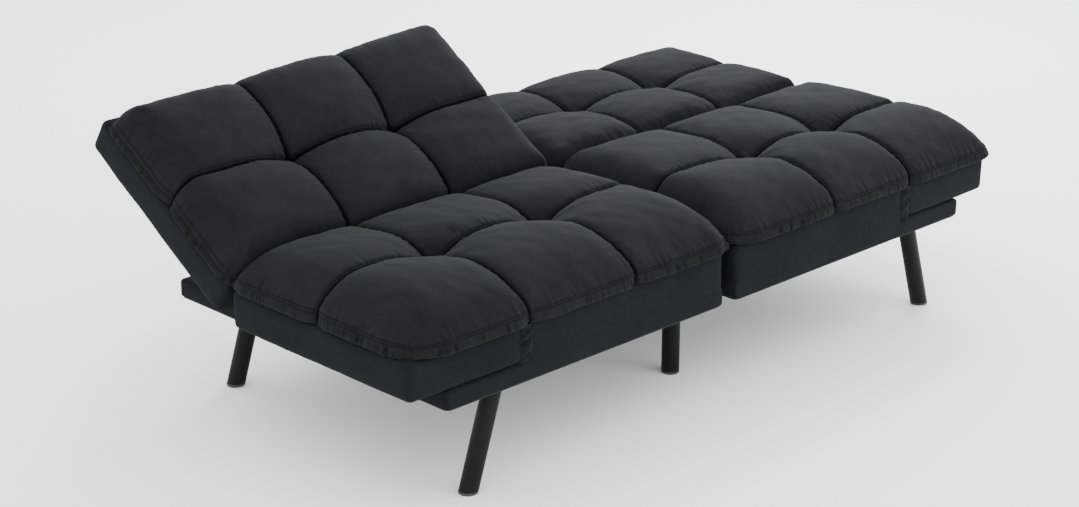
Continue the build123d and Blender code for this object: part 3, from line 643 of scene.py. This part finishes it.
def suede(name, dark, light, sheen, has_seams=False):
    """Brushed faux suede: nap brushed this way and that, fine fibres and a soft sheen."""
    material, nodes, links, shader = new_material(name)
    nap = noise(nodes, links, 7.0, detail=5.0, roughness=0.55)
    streaks = noise(nodes, links, 60.0, detail=4.0, roughness=0.6, stretch=(1.0, 0.35, 1.0))
    fibres = noise(nodes, links, 1400.0, detail=2.0)
    weave = noise(nodes, links, 480.0, detail=3.0, roughness=0.7)
    middle = tuple((a + b) / 2 for a, b in zip(dark, light))
    broad = ramp(nodes, links, nap, [(0.32, dark), (0.5, middle), (0.68, light)])
    fine = ramp(nodes, links, streaks, [(0.3, (0.78,)), (0.7, (1.0,))])
    colour = mixed(nodes, links, "MULTIPLY", 1.0, broad, fine)
    tooth = ramp(nodes, links, fibres, [(0.3, (0.6,)), (0.7, (1.0,))])
    colour = mixed(nodes, links, "MULTIPLY", 0.5, colour, tooth)
    # Painted shade in the seams, the rim and the band's folds, for the quilts.
    if has_seams:
        colour = with_painted_seam_shade(nodes, links, colour)
    links.new(colour, shader.inputs["Base Color"])
    links.new(ramp(nodes, links, nap, [(0.3, (0.82,)), (0.7, (0.95,))]), shader.inputs["Roughness"])
    shader.inputs["Sheen Weight"].default_value = sheen
    shader.inputs["Sheen Roughness"].default_value = 0.45
    shader.inputs["Sheen Tint"].default_value = (0.75, 0.77, 0.84, 1)
    shader.inputs["Specular IOR Level"].default_value = 0.04
    bumped(nodes, links, shader, [(weave, 0.22, 0.0005), (fibres, 0.3, 0.0003)])
    return material


def thread():
    material, nodes, links, shader = new_material("stitching_thread")
    twist = noise(nodes, links, 2200.0, detail=1.0)
    links.new(ramp(nodes, links, twist, [(0.3, (0.0015,)), (0.7, (0.004,))]), shader.inputs["Base Color"])
    links.new(ramp(nodes, links, twist, [(0.3, (0.80,)), (0.7, (0.95,))]), shader.inputs["Roughness"])
    shader.inputs["Specular IOR Level"].default_value = 0.03
    bumped(nodes, links, shader, [(twist, 0.4, 0.0003)])
    return material


def powder_coat():
    """Matte black powder coat with a fine orange peel and slightly rubbed patches."""
    material, nodes, links, shader = new_material("powder_coat")
    peel = noise(nodes, links, 900.0, detail=2.0)
    rub = noise(nodes, links, 14.0, detail=6.0, roughness=0.6)
    black = ramp(nodes, links, rub, [(0.3, (0.003, 0.003, 0.0034)), (0.7, (0.005, 0.005, 0.0057))])
    links.new(black, shader.inputs["Base Color"])
    links.new(ramp(nodes, links, rub, [(0.3, (0.42,)), (0.7, (0.56,))]), shader.inputs["Roughness"])
    shader.inputs["Specular IOR Level"].default_value = 0.10
    bumped(nodes, links, shader, [(peel, 0.18, 0.0004)])
    return material


def metal(name, colour, roughness):
    """Zinc plate or wire: brushed streaks, mottled plating and scuffs."""
    material, nodes, links, shader = new_material(name)
    streaks = noise(nodes, links, 300.0, detail=3.0, stretch=(0.1, 1.0, 1.0))
    spangle = noise(nodes, links, 40.0, detail=4.0)
    dull = tuple(0.75 * c for c in colour)
    links.new(ramp(nodes, links, spangle, [(0.3, dull), (0.7, colour)]), shader.inputs["Base Color"])
    brushed = ramp(nodes, links, streaks, [(0.3, (roughness - 0.08,)), (0.7, (roughness + 0.1,))])
    links.new(brushed, shader.inputs["Roughness"])
    shader.inputs["Metallic"].default_value = 1.0
    bumped(nodes, links, shader, [(streaks, 0.15, 0.0003)])
    return material


def timber():
    material, nodes, links, shader = new_material("sawn_timber")
    grain = noise(nodes, links, 90.0, detail=6.0, roughness=0.65, stretch=(0.12, 0.12, 1.0))
    wood = [(0.3, (0.30, 0.19, 0.10)), (0.55, (0.50, 0.36, 0.21)), (0.7, (0.60, 0.45, 0.28))]
    links.new(ramp(nodes, links, grain, wood), shader.inputs["Base Color"])
    links.new(ramp(nodes, links, grain, [(0.3, (0.7,)), (0.7, (0.85,))]), shader.inputs["Roughness"])
    bumped(nodes, links, shader, [(grain, 0.4, 0.001)])
    return material


def dull_cloth(name, dark, light, scale):
    """Plain non-woven, webbing or foam: a fine cellular tooth and slight mottling."""
    material, nodes, links, shader = new_material(name)
    tooth = noise(nodes, links, scale, detail=2.0)
    mottle = noise(nodes, links, 12.0, detail=4.0)
    colour = mixed(nodes, links, "MULTIPLY", 0.5, ramp(nodes, links, mottle, [(0.3, dark), (0.7, light)]),
                   ramp(nodes, links, tooth, [(0.35, (0.6,)), (0.65, (1.0,))]))
    links.new(colour, shader.inputs["Base Color"])
    links.new(ramp(nodes, links, tooth, [(0.3, (0.85,)), (0.7, (0.97,))]), shader.inputs["Roughness"])
    bumped(nodes, links, shader, [(tooth, 0.5, 0.0006)])
    return material


def plastic():
    material, nodes, links, shader = new_material("glide_plastic")
    grain = noise(nodes, links, 700.0, detail=2.0)
    scuff = noise(nodes, links, 30.0, detail=5.0)
    links.new(ramp(nodes, links, scuff, [(0.3, (0.012,)), (0.7, (0.026,))]), shader.inputs["Base Color"])
    links.new(ramp(nodes, links, scuff, [(0.3, (0.5,)), (0.7, (0.7,))]), shader.inputs["Roughness"])
    bumped(nodes, links, shader, [(grain, 0.3, 0.0003)])
    return material


# The quilts' suede carries painted shade in its seams, rim and band folds.
QUILT_SUEDE = suede(
    "quilted_suede", (0.0085, 0.0084, 0.0099), (0.0130, 0.0128, 0.0148), 0.03, has_seams=True)
BOX_SUEDE = suede("smooth_suede", (0.0078, 0.0079, 0.0096), (0.0112, 0.0113, 0.0135), 0.025)
THREAD = thread()
BY_SLOT = {
    "quilted_suede": QUILT_SUEDE, "smooth_suede": BOX_SUEDE,
    "lining_cloth": dull_cloth("lining_cloth", (0.010, 0.010, 0.011), (0.020, 0.020, 0.022), 900.0),
    "foam": dull_cloth("foam", (0.62, 0.57, 0.40), (0.78, 0.73, 0.55), 500.0),
    "timber": timber(),
    "spring_wire": metal("spring_wire", (0.30, 0.30, 0.32), 0.45),
    "elastic_webbing": dull_cloth("elastic_webbing", (0.02, 0.02, 0.02), (0.05, 0.05, 0.05), 400.0),
    "zinc_plated_steel": metal("zinc_plated_steel", (0.62, 0.63, 0.64), 0.35),
    "black_powder_coat": powder_coat(), "glide_plastic": plastic(),
}


def give_cad_nodes_their_materials():
    for subpart in frame["record"]["subparts"]:
        node = frame["nodes"][subpart["node"]]
        for material_slot in node.material_slots:
            material_slot.link = "OBJECT"
            material_slot.material = BY_SLOT[subpart["material_slot"]]


# --- Mesh objects -----------------------------------------------------------------------------
def add_mesh(name, vertices, faces, material):
    mesh = bpy.data.meshes.new(name)
    mesh.from_pydata(vertices.tolist(), [], [tuple(int(i) for i in face) for face in faces])
    mesh.validate()
    mesh.update()
    mesh.polygons.foreach_set("use_smooth", [True] * len(mesh.polygons))
    mesh.materials.append(material)
    made = bpy.data.objects.new(name, mesh)
    bpy.context.scene.collection.objects.link(made)
    return made


def placed(vertices, faces, side):
    """Mirrors a right-hand shape for the left-hand module."""
    if SIDES[side] > 0:
        return vertices, faces
    return vertices * np.array([-1, 1, 1]), [tuple(face)[::-1] for face in faces]


def back_at_rest(vertices, side):
    """Turns a back piece about the back's fold to its rest angle."""
    if side == "right":
        return vertices
    y, z = vertices[:, 1] - BACK_FOLD_Y, vertices[:, 2] - FOLD_Z
    cos, sin = math.cos(LEFT_BACK_ANGLE), math.sin(LEFT_BACK_ANGLE)
    return np.stack([vertices[:, 0], BACK_FOLD_Y + y * cos - z * sin, FOLD_Z + y * sin + z * cos], axis=-1)


def make_quilt(kind, side):
    """A seat or back quilt with its stitching."""
    name = f"{side}_{kind}_quilt"
    quilt = Quilt(kind, QUILTS[f"{side}_{kind}"])
    vertices, faces, top, shades = quilt_mesh(quilt, kind == "seat")
    threads, thread_faces, count = [], [], 0
    for path, normals in quilt_stitching(quilt, top):
        more, more_faces = stitches_along(path, normals)
        threads.append(more)
        thread_faces += [tuple(i + count for i in face) for face in more_faces]
        count += len(more)
    made = []
    for suffix, points, polygons, material, slot in (
        ("", vertices, faces, QUILT_SUEDE, "quilted_suede"),
        ("_stitching", np.concatenate(threads), thread_faces, THREAD, "quilted_suede"),
    ):
        points, polygons = placed(points, polygons, side)
        if kind == "back":
            points = back_at_rest(points, side)
        piece = add_mesh(name + suffix, points, polygons, material)
        if not suffix:
            # The quilt's painted shade, kept on its vertices for its material.
            shade = piece.data.attributes.new("seam_shade", "FLOAT", "POINT")
            shade.data.foreach_set("value", shades)
        made.append(piece)
    return made


def attach_quilt(pieces, kind, side):
    """A back quilt turns with its back. A seat quilt's placing is baked into its mesh."""
    for piece in pieces:
        if kind == "back":
            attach(piece, f"{side}_back")
        else:
            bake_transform(piece)


# --- Upholstered boxes ------------------------------------------------------------------------
BOX_RADIUS = 0.015
PLINTH_RADIUS = 0.008
COVER_GROWTH = 0.0006  # how far a cover stands outside its CAD solid


def box_lines(low, high, radius, step):
    """Lines across a box's side: close together in its rounded edges, wider between."""
    edge = radius * np.array([0, 0.08, 0.29, 0.62, 1.0])
    inner = np.linspace(low + radius, high - radius, max(2, round((high - low - 2 * radius) / step)) + 1)
    return np.concatenate([low + edge[:-1], inner, (high - edge[:-1])[::-1]])


def soft_box(low, high, radius, seed, puff, step=0.012):
    """A closed box with rounded edges, slightly padded faces and faint ripples."""
    low, high = np.array(low), np.array(high)
    axes = [box_lines(low[k], high[k], min(radius, (high[k] - low[k]) / 3), step) for k in range(3)]
    vertices, faces, lookup = [], [], {}

    def vertex(point):
        key = tuple(np.round(point, 6))
        if key not in lookup:
            lookup[key] = len(vertices)
            vertices.append(point)
        return lookup[key]

    for axis in range(3):
        u, v = [k for k in range(3) if k != axis]
        for value, outward in ((low[axis], -1), (high[axis], 1)):
            ids = np.empty((len(axes[u]), len(axes[v])), int)
            for i, a in enumerate(axes[u]):
                for j, b in enumerate(axes[v]):
                    point = np.empty(3)
                    point[axis], point[u], point[v] = value, a, b
                    ids[i, j] = vertex(point)
            flip = (outward > 0) == (axis == 1)
            for i in range(len(axes[u]) - 1):
                for j in range(len(axes[v]) - 1):
                    quad = (ids[i, j], ids[i + 1, j], ids[i + 1, j + 1], ids[i, j + 1])
                    faces.append(quad[::-1] if flip else quad)
    points = np.array(vertices)
    core_low, core_high = low + radius, high - radius
    core = np.clip(points, core_low, core_high)
    away = points - core
    reach = np.linalg.norm(away, axis=1)
    direction = away / np.maximum(reach, 1e-9)[:, None]
    points = core + direction * np.minimum(reach, radius)[:, None]
    middle, half = (low + high) / 2, (high - low) / 2
    off = np.clip(abs(points - middle) / half, 0, 1)
    face_axis = np.argmax(abs(direction), axis=1)
    others = [[1, 2], [0, 2], [0, 1]]
    swell = np.array([np.prod([1 - off[i, k] ** 4 for k in others[a]]) for i, a in enumerate(face_axis)])
    ripple = 0.0006 * waves(seed, 0.16, *points.T) + 0.00025 * waves(seed + 1, 0.045, *points.T)
    return points + direction * (puff * swell + ripple)[:, None], faces


def make_box(name, node_box, radius, side, seed, body, replaced, puff=0.0025, in_back=False):
    """A cover round a CAD box. It stops level with the box's underside."""
    low = np.array(node_box[0]) - COVER_GROWTH
    high = np.array(node_box[1]) + COVER_GROWTH
    low[2] += COVER_GROWTH
    vertices, faces = soft_box(low, high, radius, seed, puff)
    vertices, faces = placed(vertices, faces, side)
    if in_back:
        vertices = back_at_rest(vertices, side)
    piece = add_mesh(name, vertices, faces, BOX_SUEDE)
    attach(piece, body)
    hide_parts(*replaced)
    return piece


# --- Gussets ----------------------------------------------------------------------------------
GUSSET_INSET = 0.001  # behind the front of the boxes
GUSSET_OVERLAP = 0.015  # past the edge of each box
GUSSET_THICKNESS = 0.002
GUSSET_TUCK = 0.008  # how far back its two sides are tucked


def make_gusset(side):
    """The loose pleated cloth that closes the gap between the seat and the arm at the front."""
    x_low, x_high = SEAT_BOX[1].x - GUSSET_OVERLAP, ARM_BOX[0].x + GUSSET_OVERLAP
    y_front = SEAT_BOX[0].y + GUSSET_INSET
    u, v = np.linspace(0, 1, 15), np.linspace(PLINTH_BOX[1].z - 0.002, BLOCK_TOP - 0.004, 46)
    share, z = np.meshgrid(u, v)
    pleats = waves(91, 0.016, z + 0.006 * share, share * 0.008)
    slanted = waves(92, 0.03, z, share * 0.03)
    loose = np.sin(math.pi * share)
    y = y_front - loose * (0.0060 + 0.0050 * pleats + 0.004 * slanted)
    y += GUSSET_TUCK * (1 - smoothstep(0, 0.12, np.minimum(share, 1 - share)))
    x = x_low + (x_high - x_low) * share + 0.0012 * loose * slanted
    front = np.stack([x, y, z], axis=-1)
    rear = front + np.array([0, GUSSET_THICKNESS, 0])
    rows, columns = z.shape
    index = np.arange(rows * columns).reshape(rows, columns)
    faces = [tuple(quad) for quad in np.stack(
        [index[:-1, :-1], index[:-1, 1:], index[1:, 1:], index[1:, :-1]], axis=-1).reshape(-1, 4)]
    faces += [tuple(i + rows * columns for i in face[::-1]) for face in faces]
    edge = boundary(index)
    behind = edge + rows * columns
    faces += [tuple(quad) for quad in np.stack(
        [edge, behind, np.roll(behind, -1), np.roll(edge, -1)], axis=-1)]
    vertices, faces = placed(np.concatenate([front.reshape(-1, 3), rear.reshape(-1, 3)]), faces, side)
    gusset = add_mesh(f"{side}_arm_gusset", vertices, faces, BOX_SUEDE)
    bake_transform(gusset)


# --- Camera, light and floor ------------------------------------------------------------------
CAMERA_PLACE = (-3.5675, -3.5632, 2.0507)
CAMERA_TURN = (90 - 20.3, -0.1, -44.5)  # degrees
LENS = 78.57
SENSOR = 36.0
FLOOR_SIZE = 60
FLOOR_COLOUR = (0.97, 0.97, 0.97, 1)
WORLD_STRENGTH = 2.5
# Each light: name, place, what it points at, size and power.
LIGHTS = (
    ("key", (2.9, 1.3, 2.3), (0.3, 0, 0.3), 1.8, 150),
    ("fill", (1.2, -4.2, 0.9), (0.2, 0, 0.3), 2.4, 70),
    ("rim", (-0.6, 4.2, 2.4), (0, 0.2, 0.4), 2.4, 30),
)


def set_stage():
    camera_data = bpy.data.cameras.new("camera")
    camera_data.lens = LENS
    camera_data.sensor_width = SENSOR
    camera = bpy.data.objects.new("camera", camera_data)
    camera.location = CAMERA_PLACE
    camera.rotation_euler = [math.radians(turn) for turn in CAMERA_TURN]
    bpy.context.scene.collection.objects.link(camera)
    bpy.context.scene.camera = camera

    world = bpy.data.worlds.new("studio")
    world.use_nodes = True
    background = world.node_tree.nodes["Background"]
    background.inputs["Color"].default_value = (1.0, 1.0, 1.0, 1)
    background.inputs["Strength"].default_value = WORLD_STRENGTH
    bpy.context.scene.world = world

    bpy.ops.mesh.primitive_plane_add(size=FLOOR_SIZE, location=(0, 0, 0))
    floor = bpy.context.object
    floor.name = "floor"
    material, _, _, shader = new_material("floor")
    shader.inputs["Base Color"].default_value = FLOOR_COLOUR
    shader.inputs["Roughness"].default_value = 0.9
    floor.data.materials.append(material)

    for light in LIGHTS:
        area_light(*light)


def area_light(name, place, target, size, power):
    data = bpy.data.lights.new(name, "AREA")
    data.energy = power
    data.size = size
    light = bpy.data.objects.new(name, data)
    light.location = place
    direction = np.array(target) - np.array(place)
    yaw = math.atan2(direction[0], direction[1])
    pitch = math.atan2(direction[2], math.hypot(direction[0], direction[1]))
    light.rotation_euler = (math.pi / 2 + pitch, 0, -yaw)
    bpy.context.scene.collection.objects.link(light)


# --- Build ------------------------------------------------------------------------------------
def build():
    set_stage()
    give_cad_nodes_their_materials()
    for side in SIDES:
        for kind, replaced in (("seat", ("seat_topper", "arm_topper")), ("back", ("back_topper",))):
            pieces = make_quilt(kind, side)
            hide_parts(*[f"{side}_{node}" for node in replaced])
            attach_quilt(pieces, kind, side)
        seed = 40 + SIDES[side]
        plinth_box = (PLINTH_BOX[0].to_tuple(), PLINTH_BOX[1].to_tuple())
        make_box(f"{side}_seat_upholstery", SEAT_BOX, BOX_RADIUS, side, seed, "base",
                 [f"{side}_seat_cover"])
        make_box(f"{side}_plinth_side", plinth_box, PLINTH_RADIUS, side, seed + 3, "base",
                 [f"{side}_plinth_cover"], puff=0.0008)
        make_box(f"{side}_arm_upholstery", ARM_BOX, BOX_RADIUS, side, seed + 6, f"{side}_arm",
                 [f"{side}_arm_cover"])
        make_gusset(side)
        make_box(f"{side}_back_upholstery", BACK_BOX, BOX_RADIUS, side, seed + 9, f"{side}_back",
                 [f"{side}_back_cover", f"{side}_back_rear_panel"], in_back=True)


build()
